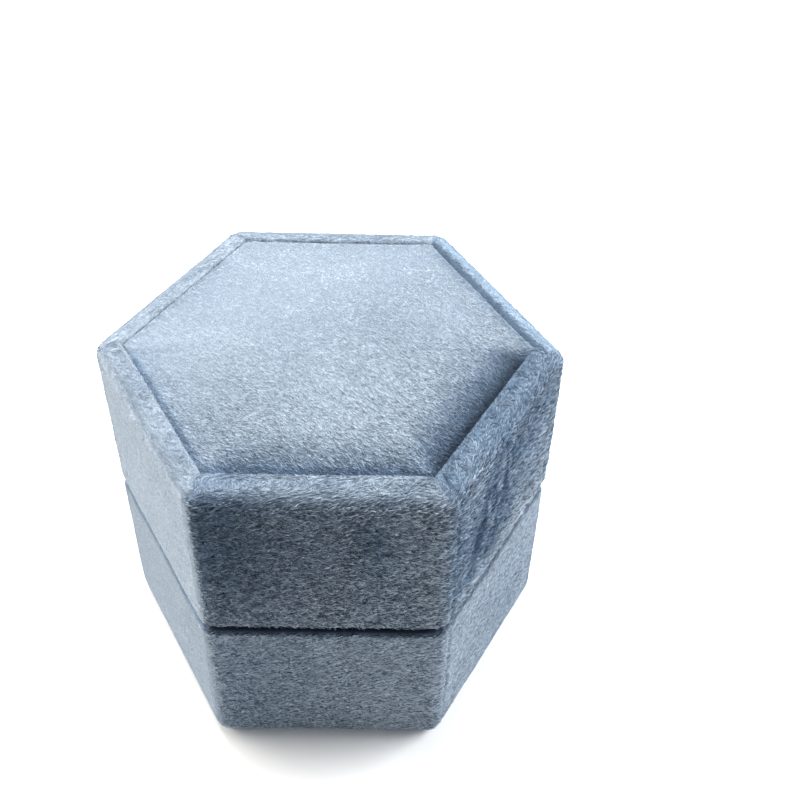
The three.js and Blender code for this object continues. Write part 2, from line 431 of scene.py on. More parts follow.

# Marks in the pile: side, place across it (-1 to 1), height on it (0 to 1), width and height of the
# mark in the same units, the change in brightness, and how ragged it is. The small and ragged dark ones
# are pile crushed by fingers; the broad lighter and darker areas and the bright strips along the lid's
# lower edge are painted light and shade.
LID_MARKS_AND_LIGHT = (
    (FRONT, -0.90, 0.70, 0.45, 0.45, -0.22, 0.2),
    (FRONT, 0.38, 0.74, 0.08, 0.08, -0.16, 0.6),
    (FRONT, 0.42, 0.62, 0.14, 0.20, -0.10, 0.4),
    (FRONT, 0.80, 0.45, 0.55, 0.60, 0.16, 0.2),
    (FRONT, 0.00, 0.08, 0.90, 0.25, 0.16, 0.2),
    (FRONT_RIGHT, -0.15, 0.62, 0.24, 0.32, -0.34, 1.0),
    (FRONT_RIGHT, -0.48, 0.40, 0.26, 0.26, -0.28, 1.0),
    (FRONT_RIGHT, 0.40, 0.78, 0.35, 0.20, -0.16, 1.0),
    (FRONT_RIGHT, -0.85, 0.60, 0.15, 0.60, -0.06, 0.7),
    (FRONT_RIGHT, 0.60, 0.30, 0.35, 0.30, 0.08, 0.5),
    (FRONT_RIGHT, 0.00, 0.05, 1.20, 0.10, 0.42, 0.2),
)
BASE_MARKS_AND_LIGHT = (
    (FRONT, -0.80, 0.50, 0.50, 0.60, -0.10, 0.2),
    (FRONT, 0.80, 0.40, 0.50, 0.60, 0.14, 0.2),
    (FRONT_RIGHT, 0.20, 0.50, 0.40, 0.30, -0.06, 0.4),
    (FRONT_RIGHT, -0.90, 0.50, 0.12, 0.80, 0.08, 0.3),
)


def wall_brushing_and_shade(places, outward, low, high, sides, rough_sides, marks_and_light):
    """Brightness, ruffling and blueness of a wrapped wall's pile and rim, with painted light and shade.
    """
    side, across = place_on_sides(places)
    level = (places[:, 2] - low) / (high - low)
    shade = blend_sides(outward, sides)
    unruly = blend_sides(outward, rough_sides)
    streaks = field(places, np.array([0.7, 0.7, 2.8]) * MM, SEED + 3)
    flecks = field(places, np.array([0.35, 0.35, 0.7]) * MM, SEED + 8)
    torn = ramp(streaks + 0.7 * flecks, -0.40, 0.40) * 1.8
    cool = np.zeros(len(places))
    for mark_side, mark_across, mark_level, width, height, change, ragged in marks_and_light:
        away = ((across - mark_across) / width) ** 2 + ((level - mark_level) / height) ** 2
        strength = (side == mark_side) * np.exp(-away) * (1 - ragged + ragged * torn)
        shade += change * strength
        cool += max(0, -change) * 1.4 * strength
    upright = ramp(outward[:, 2], 0.35, 0.8)
    inwards = edge_distance(places, OUTSIDE)
    rim_shade = np.array(RIM_SHADE)[side]
    # Painted shade: the rim darkens towards the crease on its inner side.
    rim = np.array(RIM_SIDES)[side] * (1 - rim_shade * ramp(inwards, 1.9 * MM, 2.8 * MM))
    _, lateral, climb, _, _ = unrolled(places)
    strip = np.column_stack([lateral, (climb - 0.1 * lateral) * 7, side * 50 * MM])
    rim *= 1 + 0.16 * field(strip, 3 * MM, SEED + 9)
    shade = shade * (1 - upright) + rim * upright
    patches = field(places, 6.5 * MM, SEED + 4)
    shade *= 1 + (0.02 + 0.05 * unruly) * patches + 0.10 * unruly * (streaks + flecks)
    rough = unruly * (1 - upright) + np.array(RIM_ROUGH)[side] * upright
    # Bluer where the right face is dark and in the rim's painted shade.
    cool += 0.2 * (side == FRONT_RIGHT) * (shade < 0.8) + 0.5 * upright * rim_shade
    return shade, rough, np.clip(cool, 0, 1)


def cushion_brushing_and_shade(places):
    """Brightness, ruffling and blueness of the cushion's pile: smooth and bright at the back."""
    side, across = place_on_sides(places)
    patches = field(places, 9 * MM, SEED + 5)
    strokes = field(places, np.array([5.0, 3.0, 5.0]) * MM, SEED + 6)
    backwards = (places[:, 1] - 0.4 * places[:, 0]) / OUTSIDE
    sunk = near_edges(places, SUNK_SIDES, [3.6] * SIDES)
    crease = near_edges(places, CREASE_SIDES, CREASE_WIDTHS, power=4)
    shade = 0.80 - 0.03 * backwards + 0.04 * patches + 0.03 * strokes
    # Painted shade: darker and bluer where the sunk edge slopes away from the light and in the crease.
    away_from_light = 0.32 + 0.34 * (side == FRONT_RIGHT) * ramp(across, -1.0, -0.8)
    shade *= (1 - away_from_light * sunk) * (1 - 0.85 * crease)
    rough = 0.30 - 0.42 * backwards + 0.2 * sunk
    return shade, np.clip(rough, 0.04, 0.8), np.clip(0.40 * sunk + 0.40 * crease, 0, 1)


def lay_pile(piece, cover, shade, reach=1.0, rough=0.5, cool=0.0):
    """Stores how densely the pile covers each point, how bright, long, ruffled and blue it is there."""
    size = len(piece.data.vertices)
    looks = {"cover": cover, "shade": shade, "reach": reach, "rough": rough, "cool": cool}
    for name, values in looks.items():
        set_values(piece.data, name, np.broadcast_to(values, size))


# ---------------------------------------------------------------- the pile


def flat_tufts(direction, along, across, contrast=0.0):
    """Tufts on a level surface: `along` metres long in a direction, and `across` metres wide.

    contrast is how much painted shade darkens one edge of each tuft and painted light brightens the
    other.
    """
    d = np.array([math.cos(direction), math.sin(direction), 0.0])
    axes = np.array([d, np.cross((0, 0, 1), d), (0, 0, 1)])
    sizes = np.array([along, across, along])

    def tufts(places):
        offsets, chance = tuft_offsets(places @ axes.T / sizes, np.ones(3), SEED + 20)
        return offsets * sizes @ axes, chance, contrast * np.clip(2 * offsets[:, 1], -1, 1)

    return tufts


TUFT_LENGTH, TUFT_WIDTH, TUFT_RISE = 1.15 * MM, 0.25 * MM, 0.52
WEAVE_PITCH = 0.49 * MM


def woven_tufts(places):
    """Tufts on a wall: long and thin, rising to the right, and crossed by the weave's upright rows."""
    side, lateral, climb, along, upwards = unrolled(places)
    sizes = np.array([TUFT_LENGTH, TUFT_WIDTH, 1 * MM])
    scaled = np.column_stack([lateral, climb - TUFT_RISE * lateral, side * 7 * MM]) / sizes
    offsets, chance = tuft_offsets(scaled, np.array([1.0, 0.8, 0.0]), SEED + 20)
    pull = along * (offsets[:, :1] * sizes[0])
    pull += (offsets[:, 1] * sizes[1] + TUFT_RISE * offsets[:, 0] * sizes[0])[:, None] * upwards
    rows = np.cos(2 * math.pi * lateral / WEAVE_PITCH)
    # Painted light and shade on the two edges of each tuft, and the weave's upright rows.
    relief_light = -1.25 * np.clip(2 * offsets[:, 1], -1, 1) + 0.16 * rows
    return pull, chance, relief_light


def scatter(mesh, density, rng):
    """Random points on a mesh's covered faces: their triangles' vertices and the shares of each."""
    mesh.calc_loop_triangles()
    corners = np.zeros(len(mesh.loop_triangles) * 3, np.int64)
    mesh.loop_triangles.foreach_get("vertices", corners)
    corners = corners.reshape(-1, 3)
    places, cover = positions(mesh), get_values(mesh, "cover")
    a, b, c = (places[corners[:, i]] for i in range(3))
    areas = np.linalg.norm(np.cross(b - a, c - a), axis=1) / 2 * cover[corners].mean(axis=1)
    areas[cover[corners].min(axis=1) <= 0] = 0
    total = int(areas.sum() / (MM * MM) * density)
    heap = np.cumsum(areas)
    chosen = np.minimum(np.searchsorted(heap, rng.random(total) * heap[-1]), len(areas) - 1)
    u, v = rng.random(total), rng.random(total)
    folded = u + v > 1
    u[folded], v[folded] = 1 - u[folded], 1 - v[folded]
    return corners[chosen], np.stack([1 - u - v, u, v], axis=1)


STRAND_RADIUS = 0.034 * MM
STRAND_TAPER = np.array([1.0, 0.95, 0.8, 0.4])


def grow_pile(piece, material, nap, tufts, density=34, length=0.75 * MM, lean=64):
    """Covers a piece with short leaning curves.

    nap(places, outward) is the direction that the pile is brushed in. tufts(places) gives the way to
    the middle of each place's tuft, the tuft's random number, and the painted light and shade that the
    tuft's relief gets there. density is in strands per square millimetre. lean is in degrees from the
    surface normal where the pile is ruffled; where it is smooth it lies flatter.
    """
    mesh = piece.data
    rng = np.random.default_rng(SEED + len(mesh.vertices))
    corners, shares = scatter(mesh, density, rng)
    total = len(corners)

    def spread(values):
        return sum(values[corners[:, i]] * shares[:, i, None] for i in range(3))

    def spread_value(name):
        return spread(get_values(mesh, name)[:, None])[:, 0]

    root, normal = spread(positions(mesh)), unit(spread(normals(mesh)))
    shade, rough = spread_value("shade"), spread_value("rough")
    pull, chance, relief_light = tufts(root)
    brushed = nap(root, normal)
    brushed = unit(brushed - normal * (brushed * normal).sum(axis=1, keepdims=True))
    across = np.cross(normal, brushed)
    wander = 0.25 * field(root, 2.2 * MM, SEED + 21) + 0.2 * rng.normal(size=total)
    wander = rough * (wander + 0.5 * (chance - 0.5))
    brushed = brushed * np.cos(wander)[:, None] + across * np.sin(wander)[:, None]
    tilt = lean + 20 * (1 - rough) + rough * (10 * rng.normal(size=total) + 26 * (chance - 0.5))
    tilt = np.radians(np.clip(tilt, 15, 85))[:, None]
    reach = length * spread_value("reach") * (0.55 + 0.45 * rough)
    reach *= (0.8 + 0.4 * chance) * (1 + 0.2 * rng.normal(size=total))
    reach = np.clip(reach, 0.1 * length, 1.5 * length)[:, None]
    rise, run = reach * np.cos(tilt) * normal, reach * np.sin(tilt) * brushed
    pull -= normal * (pull * normal).sum(axis=1, keepdims=True)
    lengthwise = brushed * (pull * brushed).sum(axis=1, keepdims=True)
    gathered = (pull - 0.6 * lengthwise) * (0.85 * rough[:, None])
    tip = root + rise + run + gathered
    bend = root + rise * 0.8 + run * 0.25 + gathered * 0.4

    strand = np.empty((total, 4, 3))
    for i, t in enumerate((0.0, 0.36, 0.7, 1.0)):
        strand[:, i] = root * (1 - t) ** 2 + bend * 2 * t * (1 - t) + tip * t * t
    strand[:, 0] -= normal * 0.05 * MM

    curves = bpy.data.hair_curves.new(piece.name + "_pile")
    curves.add_curves([4] * total)
    curves.attributes["position"].data.foreach_set("vector", strand.astype(np.float32).ravel())
    thickness = STRAND_RADIUS * (0.8 + 0.4 * rng.random(total))[:, None] * STRAND_TAPER
    widths = curves.attributes.new("radius", "FLOAT", "POINT")
    widths.data.foreach_set("value", thickness.astype(np.float32).ravel())
    tint = 1 + rough * (0.12 * rng.normal(size=total) + 0.9 * (chance - 0.5) + relief_light)
    tint = np.clip(tint, 0.15, 2.0)
    looks = {"shade": shade, "tint": tint, "rough": rough, "cool": spread_value("cool")}
    for name, values in looks.items():
        attribute = curves.attributes.new(name, "FLOAT", "CURVE")
        attribute.data.foreach_set("value", values.astype(np.float32))
    curves.materials.append(material)
    new_object(piece.name + "_pile", curves).parent = piece


# ---------------------------------------------------------------- materials


class Shader:
    """A material's node tree, with one call for each node."""

    def __init__(self, name):
        self.material = bpy.data.materials.new(name)
        self.material.use_nodes = True
        self.tree = self.material.node_tree
        self.surface = self.tree.nodes["Principled BSDF"]

    def node(self, kind, **settings):
        made = self.tree.nodes.new(kind)
        for name, value in settings.items():
            setattr(made, name, value)
        return made

    def link(self, source, target):
        self.tree.links.new(source, target)

    def attribute(self, name):
        return self.node("ShaderNodeAttribute", attribute_name=name).outputs["Fac"]

    def noise(self, scale, stretch=(1, 1, 1), detail=3.0, roughness=0.6):
        """Noise with features of about 1/scale metres, stretched along the axes."""
        where = self.node("ShaderNodeNewGeometry").outputs["Position"]
        mapping = self.node("ShaderNodeMapping")
        mapping.inputs["Scale"].default_value = [scale * s for s in stretch]
        self.link(where, mapping.inputs["Vector"])
        made = self.node("ShaderNodeTexNoise")
        made.inputs["Scale"].default_value = 1.0
        made.inputs["Detail"].default_value = detail
        made.inputs["Roughness"].default_value = roughness
        self.link(mapping.outputs["Vector"], made.inputs["Vector"])
        return made.outputs["Fac"]

    def between(self, value, low, high, from_low=0.0, from_high=1.0):
        made = self.node("ShaderNodeMapRange")
        limits = {"From Min": from_low, "From Max": from_high, "To Min": low, "To Max": high}
        for name, number in limits.items():
            made.inputs[name].default_value = number
        self.link(value, made.inputs["Value"])
        return made.outputs["Result"]

    def combine(self, operation, result, *others):
        for value in others:
            made = self.node("ShaderNodeMath", operation=operation)
            self.link(result, made.inputs[0])
            self.link(value, made.inputs[1])
            result = made.outputs[0]
        return result

    def times(self, *values):
        return self.combine("MULTIPLY", *values)

    def plus(self, *values):
        return self.combine("ADD", *values)

    def colours(self, value, stops):
        """A colour ramp through (position, (r, g, b)) stops."""
        made = self.node("ShaderNodeValToRGB")
        elements = made.color_ramp.elements
        while len(elements) < len(stops):
            elements.new(0.5)
        for element, (place, colour) in zip(elements, stops):
            element.position = place
            element.color = (*colour, 1)
        self.link(value, made.inputs["Fac"])
        return made.outputs["Color"]

    def paint(self, level):
        """Colours the surface by its brightness, bluer where the attribute `cool` says so."""
        # `cool` holds the blue of painted shade and of the dark marks in the pile.
        made = self.node("ShaderNodeMix", data_type="RGBA", blend_type="MULTIPLY")
        factor, first, second = made.inputs[0], made.inputs[6], made.inputs[7]
        second.default_value = (*COOL_TINT, 1)
        self.link(self.attribute("cool"), factor)
        self.link(self.colours(level, VELVET_STOPS), first)
        self.link(made.outputs[2], self.surface.inputs["Base Color"])

    def darker_when_shut(self):
        """Where the attribute `gap` says so, 1 in the open and near 0 with another part close by."""
        # Painted shade: ambient occlusion darkens the colour in the gap when the lid is shut.
        occlusion = self.node("ShaderNodeAmbientOcclusion", samples=8)
        occlusion.inputs["Distance"].default_value = 2 * MM
        lit = self.between(occlusion.outputs["AO"], 0.0, 1.0, 0.72, 1.0)
        made = self.node("ShaderNodeMix", data_type="FLOAT")
        made.inputs[2].default_value = 1.0
        self.link(self.attribute("gap"), made.inputs[0])
        self.link(lit, made.inputs[3])
        return made.outputs[0]

    def bump(self, height, strength, distance):
        made = self.node("ShaderNodeBump")
        made.inputs["Strength"].default_value = strength
        made.inputs["Distance"].default_value = distance
        self.link(height, made.inputs["Height"])
        self.link(made.outputs["Normal"], self.surface.inputs["Normal"])


# Colours of the pile from deepest shade to brightest, in linear light.
VELVET_STOPS = (
    (0.0, (0.005, 0.011, 0.024)),
    (0.3, (0.106, 0.150, 0.212)),
    (0.6, (0.318, 0.384, 0.460)),
    (1.0, (0.600, 0.680, 0.760)),
)
# The blue that painted shade and dark marks take on.
COOL_TINT = (0.60, 0.92, 1.18)


def velvet_material(name, brightness=1.0):
    """Backing and pile seen as one surface: painted and brushed shade, short strands, weave rows and
    sheen.
    """
    s = Shader(name)
    strands = s.noise(1 / (0.5 * MM), stretch=(1, 1, 2.2), detail=4.0, roughness=0.7)
    fine = s.noise(1 / (0.16 * MM), detail=2.0, roughness=0.5)
    slow = s.noise(1 / (5 * MM), detail=2.0)
    shade = s.times(
        s.attribute("shade"),
        s.between(strands, 0.72, 1.28, 0.25, 0.75),
        s.between(fine, 0.86, 1.14, 0.2, 0.8),
        s.between(slow, 0.92, 1.08, 0.25, 0.75),
    )
    shade = s.times(shade, s.darker_when_shut())
    level = s.between(shade, 0.0, 1.0, 0.0, 1.65 / brightness)
    s.paint(level)
    rough = s.between(strands, 0.95, 0.75)
    s.link(rough, s.surface.inputs["Roughness"])
    s.surface.inputs["Specular IOR Level"].default_value = 0.2
    s.surface.inputs["Sheen Weight"].default_value = 0.5
    s.surface.inputs["Sheen Roughness"].default_value = 0.4
    s.surface.inputs["Sheen Tint"].default_value = (0.80, 0.88, 1.0, 1)
    height = s.plus(s.between(strands, 0, 0.7), s.between(fine, 0, 0.3))
    s.bump(height, 0.6, 0.25 * MM)
    return s.material


def pile_material(name, brightness=1.0):
    """The strands themselves, each a little lighter or darker than the next."""
    s = Shader(name)
    along = s.node("ShaderNodeHairInfo").outputs["Intercept"]
    # Painted shade down at the roots and painted light at the tips, where the pile is ruffled.
    lift = s.times(s.between(along, -0.55, 0.35), s.attribute("rough"))
    shade = s.times(s.attribute("shade"), s.attribute("tint"), s.between(lift, 0.0, 2.0, -1.0, 1.0))
    level = s.between(shade, 0.0, 1.0, 0.0, 1.65 / brightness)
    s.paint(level)
    s.surface.inputs["Roughness"].default_value = 0.55
    s.surface.inputs["Specular IOR Level"].default_value = 0.35
    return s.material


def board_material(name, dark, light, fleck, roughness):
    """Pressed paper fibre: fine flecks over slow mottling."""
    s = Shader(name)
    fibres = s.noise(1 / (0.4 * MM), stretch=(1, 3, 1), detail=6.0, roughness=0.75)
    mottle = s.noise(1 / (6 * MM), detail=2.0)
    mixed = s.plus(s.between(fibres, 0.0, 0.75), s.between(mottle, 0.0, 0.25))
    stops = ((0.3, dark), (0.5, light), (0.75, fleck))
    s.link(s.colours(mixed, stops), s.surface.inputs["Base Color"])
    s.link(s.between(fibres, roughness - 0.06, roughness + 0.06), s.surface.inputs["Roughness"])
    s.bump(fibres, 0.35, 0.08 * MM)
    return s.material


def foam_material():
    """Open-cell foam: small round cells with painted shade in their hollows."""
    s = Shader("foam_cells")
    where = s.node("ShaderNodeNewGeometry").outputs["Position"]
    cells = s.node("ShaderNodeTexVoronoi", feature="F1")
    cells.inputs["Scale"].default_value = 1 / (0.45 * MM)
    s.link(where, cells.inputs["Vector"])
    hollow = cells.outputs["Distance"]
    stops = ((0.0, (0.52, 0.49, 0.40)), (0.35, (0.74, 0.71, 0.62)), (0.8, (0.84, 0.82, 0.74)))
    s.link(s.colours(hollow, stops), s.surface.inputs["Base Color"])
    s.link(s.between(hollow, 0.98, 0.86), s.surface.inputs["Roughness"])
    s.bump(hollow, 0.5, 0.15 * MM)
    return s.material


def floor_material():
    s = Shader("studio_floor")
    grain = s.noise(1 / (60 * MM), detail=2.0)
    stops = ((0.3, (0.86, 0.87, 0.88)), (0.7, (0.88, 0.885, 0.89)))
    s.link(s.colours(grain, stops), s.surface.inputs["Base Color"])
    s.surface.inputs["Roughness"].default_value = 0.9
    s.surface.inputs["Specular IOR Level"].default_value = 0.1
    return s.material


velvet = velvet_material("velvet_cloth")
lining = velvet_material("lining_velvet_cloth", brightness=1.12)
velvet_pile = pile_material("velvet_pile")
lining_pile = pile_material("lining_velvet_pile", brightness=1.12)
greyboard = board_material(
    "greyboard_fibre", (0.13, 0.12, 0.10), (0.20, 0.18, 0.155), (0.30, 0.28, 0.25), 0.92
)
card = board_material(
    "card_fibre", (0.50, 0.46, 0.39), (0.62, 0.58, 0.50), (0.72, 0.69, 0.62), 0.86
)
base_paper = board_material(
    "base_paper_fibre", (0.07, 0.09, 0.12), (0.10, 0.13, 0.17), (0.15, 0.19, 0.24), 0.88
)
foam = foam_material()


def cover_with(piece, material):
    piece.data.materials.clear()
    piece.data.materials.append(material)


def dress(piece, body, replaced, material):
    """Gives a piece its material and the body it rides, and hides the CAD node that it stands for."""
    cover_with(piece, material)
    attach(piece, body)
    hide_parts(replaced)


# ---------------------------------------------------------------- wrapped walls


def wall_nap(places, outward):
    """The strip's nap runs round the box and rises a little."""
    around = np.column_stack([-outward[:, 1], outward[:, 0], np.zeros(len(outward))])
    turned = 0.15 * field(places, np.array([4, 4, 8]) * MM, SEED + 30)
    return unit(around) + (TUFT_RISE + turned)[:, None] * np.array([0.0, 0.0, 1.0])


def shown_part(piece, shown_rows):
    """1 on the first rows of a band, which are seen, and 0 on the rest."""
    size = len(piece.data.vertices)
    rows = np.arange(size) // (size // piece["rows"])
    return (rows < shown_rows).astype(float)


def finish_wall(piece, shown_rows, low, high, gap_at, brushing_and_shade):
    """Adds the soft relief, the seam and the mitres to a wrapped wall, and lays its pile."""
    mesh = piece.data
    places, outward = surface_of(piece)
    shown = shown_part(piece, shown_rows)
    inwards = edge_distance(places, OUTSIDE)
    outside = 1 - ramp(inwards, 2.6 * MM, 3.4 * MM)
    push = relief(places)
    seam = np.exp(-((seam_distance(places) / (0.30 * MM)) ** 2)) * outside
    seam *= ramp(places[:, 2], 0.8 * MM, 3.5 * MM)
    push -= 0.32 * MM * seam
    near_rim = ramp(outward[:, 2], 0.15, 0.6)
    mitre = np.exp(-((mitre_distance(places) / (0.35 * MM)) ** 2)) * near_rim
    push -= 0.10 * MM * mitre
    recess = ramp(inwards, 1.4 * MM, 3.2 * MM) * (places[:, 2] > deck_low.z)
    shifted = recess_move(places) * (recess * shown)[:, None]
    move_to(mesh, places + outward * (push * shown)[:, None] + shifted)
    # Painted shade in the gap between lid and base, darkened again by ambient occlusion when shut.
    from_gap = np.abs(places[:, 2] - gap_at)
    level = np.abs(outward[:, 2])
    gap = np.exp(-((from_gap / (1.4 * MM)) ** 4)) * ramp(level, 0.05, 0.3)
    gap *= 1 - ramp(inwards, 1.6 * MM, 2.4 * MM)
    side, _ = place_on_sides(places)
    darkness = np.array(GAP_SIDES)[side]
    shade, rough, cool = wall_brushing_and_shade(places, outward, low, high, *brushing_and_shade)
    # Painted shade on the recess wall below the rim.
    in_recess = ramp(inwards, 3.2 * MM, 3.35 * MM) * (places[:, 2] > deck_low.z)
    in_recess = in_recess * (1 - ramp(outward[:, 2], 0.3, 0.9)) * np.array(RIM_SHADE)[side]
    # Darker along the seam and the mitres, with painted shade in the recess and the gap.
    dimmed = (1 - 0.55 * seam) * (1 - 0.10 * mitre) * (1 - 1.1 * in_recess)
    shade *= dimmed * (1 - 0.20 * gap * darkness)
    cool = np.maximum(cool, np.maximum(0.2 * gap, 0.8 * in_recess))
    past_gap = ramp(from_gap, 0.2 * MM, 1.3 * MM)
    above_foot = ramp(places[:, 2], 0.3 * MM, 2.5 * MM)
    reach = (0.25 + 0.75 * past_gap) * (1 - 0.6 * seam)
    reach = reach * (0.6 + 0.4 * outside) * (0.4 + 0.6 * above_foot)
    deep_inside = (inwards > 3 * MM) * (places[:, 2] < high - 6 * MM)
    in_gap = (level > 0.45) * (from_gap < 1.3 * MM) * (inwards < 1.7 * MM)
    cover = shown * (1 - 0.6 * deep_inside) * (1 - in_gap)
    lay_pile(piece, cover, shade, reach, rough, cool)
    set_values(mesh, "gap", gap * darkness)


def rounded_strip(inner, outer, low, high, inner_from, radii):
    """The shown part of a wrapped wall's section: up inside, over the top, and down outside.

    radii are those of the edges it passes: the top inside, the top outside and the bottom outside.
    """
    inside, top, foot = radii
    shown = line((inner, inner_from), (inner, high - inside), 0.5 * MM)
    shown += arc((inner + inside, high - inside), inside, 180, 90, 6)
    shown += line((inner + inside, high), (outer - top, high), 0.3 * MM)
    shown += arc((outer - top, high - top), top, 90, 0, 7)
    shown += line((outer, high - top), (outer, low + foot), 0.45 * MM)
    shown += arc((outer - foot, low + foot), foot, 0, -90, 6)
    return shown


def hidden_line(*corners):
    """The coarse, unseen part of a section through these (apothem, height) corners."""
    points = []
    for start, end in zip(corners, corners[1:]):
        points += line(start, end, 3 * MM)
    return points + [corners[-1]]


def wrap_wall(body, shown, hidden, gap_at, brushing_and_shade):
    """Makes a body's wall of velvet from its section, and grows its pile."""
    node = body + "_wall_velvet"
    low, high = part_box(node)
    piece = band_mesh(body + "_wall_cloth", shown + hidden)
    finish_wall(piece, len(shown), low.z, high.z, gap_at, brushing_and_shade)
    dress(piece, body, node, velvet)
    grow_pile(piece, velvet_pile, wall_nap, woven_tufts, length=0.66 * MM)


def make_lid_wall():
    """The lid's strip: from the recess in the top, over the rim, down outside and up inside."""
    inner, outer = INSIDE + PILE_DEPTH, OUTSIDE - PILE_DEPTH
    low, high = lid_low.z + PILE_DEPTH + GAP_EASE, lid_high.z - PILE_DEPTH / 2
    radii = (RECESS_RADIUS, RIM_RADIUS, LID_EDGE_RADIUS)
    edge = LID_EDGE_RADIUS
    shown = rounded_strip(inner, outer, low, high, deck_high.z + GLUE, radii)
    shown += line((outer - edge, low), (inner + edge, low), 0.4 * MM)
    shown += arc((inner + edge, low + edge), edge, 270, 180, 5)
    shown += line((inner, low + edge), (inner, deck_low.z - GLUE), 0.8 * MM)
    against_inner, against_outer = INSIDE + CLOTH - GLUE, OUTSIDE - CLOTH + GLUE
    hidden = hidden_line(
        (inner, deck_low.z - GLUE),
        (against_inner, deck_low.z - GLUE),
        (against_inner, lid_low.z + CLOTH - GLUE),
        (against_outer, lid_low.z + CLOTH - GLUE),
        (against_outer, lid_high.z - CLOTH + GLUE),
        (against_inner, lid_high.z - CLOTH + GLUE),
        (against_inner, deck_high.z + GLUE),
    )
    wrap_wall("lid", shown, hidden, lid_low.z, (LID_SIDES, LID_ROUGH, LID_MARKS_AND_LIGHT))


def make_base_wall():
    """The base's strip: turned in over the rim, down outside, and turned under the bottom."""
    inner, outer = INSIDE + PILE_DEPTH / 2, OUTSIDE - PILE_DEPTH
    low, high = base_low.z, base_high.z - PILE_DEPTH / 2
    turned_in, turned_under = base_high.z - TURNED_IN, OUTSIDE - TURNED_UNDER
    radii = (RECESS_RADIUS, BASE_RIM_RADIUS, BASE_FOOT_RADIUS)
    shown = rounded_strip(inner, outer, low, high, turned_in, radii)
    against_inner, against_outer = INSIDE + CLOTH - GLUE, OUTSIDE - CLOTH + GLUE
    hidden = hidden_line(
        (outer - BASE_FOOT_RADIUS, low),
        (turned_under, low),
        (turned_under, low + CLOTH - GLUE),
        (against_outer, low + CLOTH - GLUE),
        (against_outer, base_high.z - CLOTH + GLUE),
        (against_inner, base_high.z - CLOTH + GLUE),
        (against_inner, turned_in),
    )
    wrap_wall("base", shown, hidden, base_high.z, (BASE_SIDES, BASE_ROUGH, BASE_MARKS_AND_LIGHT))


# ---------------------------------------------------------------- padded pieces

SIMULATION_SCALE = 10
SIMULATION_FRAMES = 20


def stacked_mesh(name, loops):
    """A closed solid through (outline, height) loops, which all have the same number of points."""
    size = len(loops[0][0])
    vertices = [(x, y, height) for outline, height in loops for x, y in outline]
    faces = [tuple(range(size)), tuple(range((len(loops) - 1) * size, len(loops) * size))]
    for row in range(len(loops) - 1):
        for i in range(size):
            j = (i + 1) % size
            first, second = row * size, (row + 1) * size
            faces.append((first + i, first + j, second + j, second + i))
    mesh = bpy.data.meshes.new(name)
    mesh.from_pydata(vertices, [], faces)
    piece = new_object(name, mesh)
    face_outwards(piece)
    return piece


def apply_modifiers(piece):
    graph = bpy.context.evaluated_depsgraph_get()
    mesh = bpy.data.meshes.new_from_object(piece.evaluated_get(graph), depsgraph=graph)
    old = piece.data
    piece.modifiers.clear()
    piece.data = mesh
    bpy.data.meshes.remove(old)


def inflate(piece, held_below, pressure):
    """Blows the free part of a piece up like a stuffed cover; its lower part is glued down."""
    free = positions(piece.data)[:, 2] >= held_below
    held = piece.vertex_groups.new(name="held")
    held.add(np.flatnonzero(~free).tolist(), 1.0, "REPLACE")
    cloth = piece.modifiers.new("cloth", "CLOTH")
    cloth.settings.vertex_group_mass = "held"
    cloth.settings.use_pressure = True
    cloth.settings.uniform_pressure_force = pressure
    cloth.settings.effector_weights.gravity = 0
    cloth.settings.bending_stiffness = 0.5
    cloth.point_cache.frame_start = 1
    cloth.point_cache.frame_end = SIMULATION_FRAMES
    for number in range(1, SIMULATION_FRAMES + 1):
        bpy.context.scene.frame_set(number)
    apply_modifiers(piece)
    bpy.context.scene.frame_set(1)


def puff_up(piece, voxel, held_below, cap, crown, keep_inside, pressure=4.0):
    """Turns a block into a stuffed cover, by cloth simulation at ten times its size."""
    piece.data.transform(Matrix.Scale(SIMULATION_SCALE, 4))
    remesh = piece.modifiers.new("remesh", "REMESH")
    remesh.mode = "VOXEL"
    remesh.voxel_size = voxel * SIMULATION_SCALE
    smooth = piece.modifiers.new("smooth", "SMOOTH")
    smooth.factor = 0.5
    smooth.iterations = 3
    apply_modifiers(piece)
    before = positions(piece.data)
    inflate(piece, held_below * SIMULATION_SCALE, pressure)
    moved = positions(piece.data) - before
    distance = np.linalg.norm(moved, axis=1, keepdims=True)
    moved *= np.minimum(1, cap * SIMULATION_SCALE / np.maximum(distance, 1e-9))
    places = keep_inside((before + moved) / SIMULATION_SCALE)
    height = places[:, 2]
    stretch = (crown - held_below) / (height.max() - held_below)
    places[:, 2] = np.where(height > held_below, held_below + (height - held_below) * stretch, height)
    move_to(piece.data, places)
    finer = piece.modifiers.new("finer", "SUBSURF")
    finer.levels = finer.render_levels = 1
    apply_modifiers(piece)
    piece.data.shade_smooth()


def add_filling(cover, name, body, node, inwards=0.85 * MM):
    """The foam inside a cover: the cover's own shape, narrower and lower by the velvet's thickness."""
    mesh = cover.data.copy()
    piece = new_object(name, mesh)
    places = positions(mesh)
    least, most = places.min(axis=0), places.max(axis=0)
    middle = (least + most) / 2
    climb = places[:, 2] - least[2]
    flattened = 0.05 * np.minimum(climb, inwards)
    places = middle + (places - middle) * (1 - 2 * inwards / (most - least))
    places[:, 2] = least[2] + 0.1 * MM + flattened + np.maximum(climb - inwards, 0)
    move_to(mesh, places)
    coarser = piece.modifiers.new("coarser", "DECIMATE")
    coarser.ratio = 0.25
    apply_modifiers(piece)
    dress(piece, body, node, foam)


def within_hexagon(places, apothem):
    """Pushes points that lie outside a hexagon back onto its sides."""
    for side in range(SIDES):
        out = side_direction(side)
        excess = np.clip(places[:, :2] @ out - apothem, 0, None)
        places[:, :2] -= excess[:, None] * out
    return places


